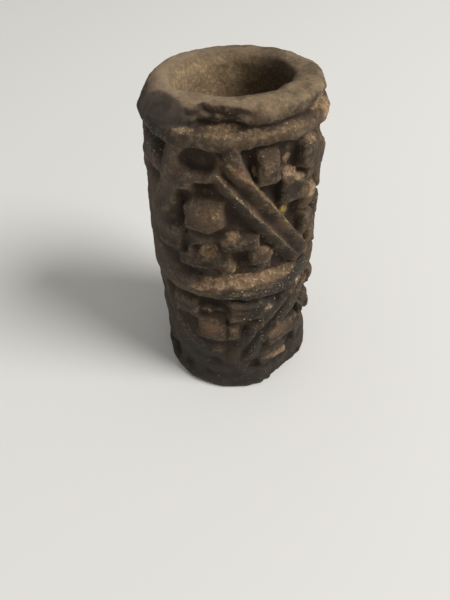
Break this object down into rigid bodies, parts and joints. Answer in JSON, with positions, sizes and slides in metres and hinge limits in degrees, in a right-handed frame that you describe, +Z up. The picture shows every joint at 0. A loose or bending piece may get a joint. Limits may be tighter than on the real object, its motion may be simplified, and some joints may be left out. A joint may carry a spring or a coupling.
{
  "type": "cylinder seal",
  "caption": "Hollow hand-made clay roller seal with a rolled lip and two carved registers of paired zigzag ribs and standing blocks, for rolling a pattern onto clay or cloth.",
  "frame": {"origin": "middle of the foot, on the surface the seal stands on", "axes": "+Z up along the bore, -Y towards the front of the carving"},
  "size_m": [0.0394, 0.0398, 0.0799],
  "materials": {
    "fired_clay": "matt, unglazed, soil-stained"
  },
  "bodies": {
    "root": {"seal_body": "fired_clay"}
  },
  "joints": []
}
